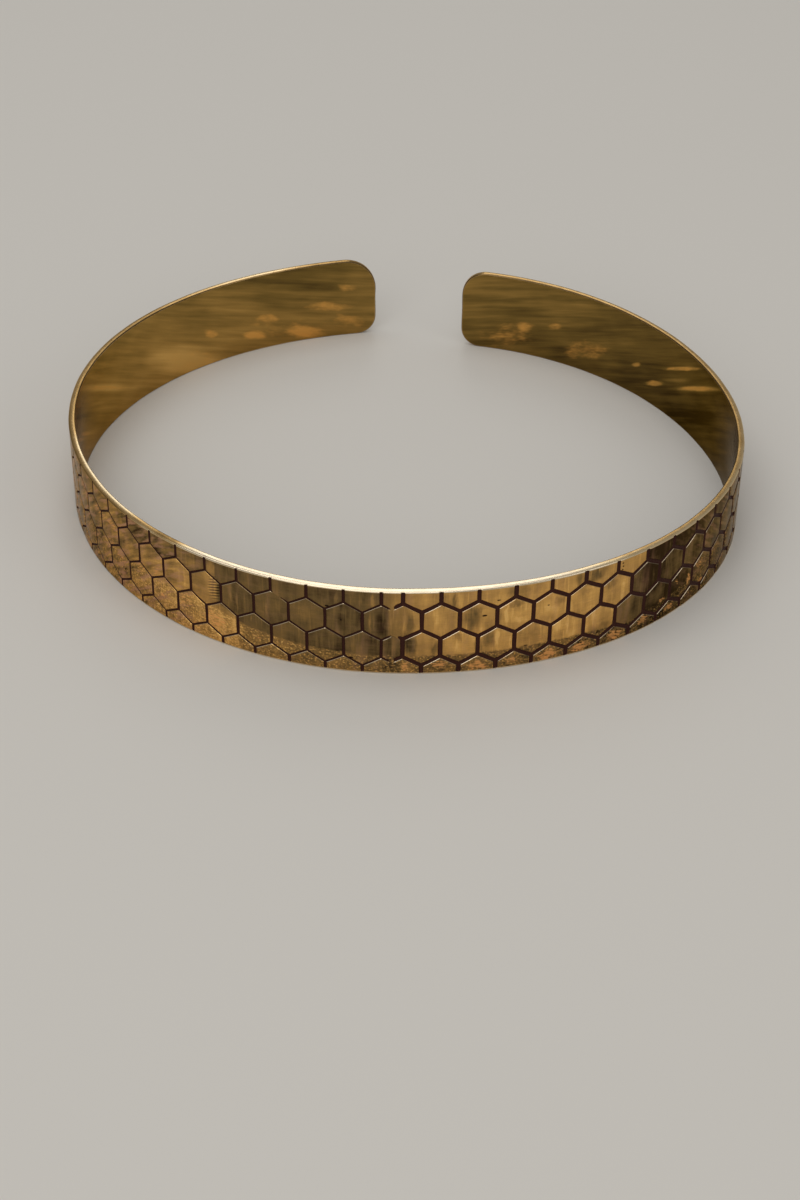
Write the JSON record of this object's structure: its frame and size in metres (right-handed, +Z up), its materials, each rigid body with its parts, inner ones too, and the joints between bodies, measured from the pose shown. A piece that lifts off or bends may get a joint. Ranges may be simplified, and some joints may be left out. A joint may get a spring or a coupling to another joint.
{
  "type": "cuff necklace",
  "caption": "Open neck cuff: one strip of brass with rounded ends, engraved with a honeycomb and bent to the round of a neck.",
  "frame": {"origin": "on the surface that the cuff lies on, under the middle of its box", "axes": "+Z up along the neck's axis, across the strip's width; -Y is the front and +Y the opening at the back; +X to the right as seen from the front"},
  "size_m": [0.1312, 0.1244, 0.018],
  "materials": {
    "brass": "aged polished brass, with dark patina in the engraved lines"
  },
  "bodies": {
    "root": {"band": "brass"}
  },
  "joints": []
}
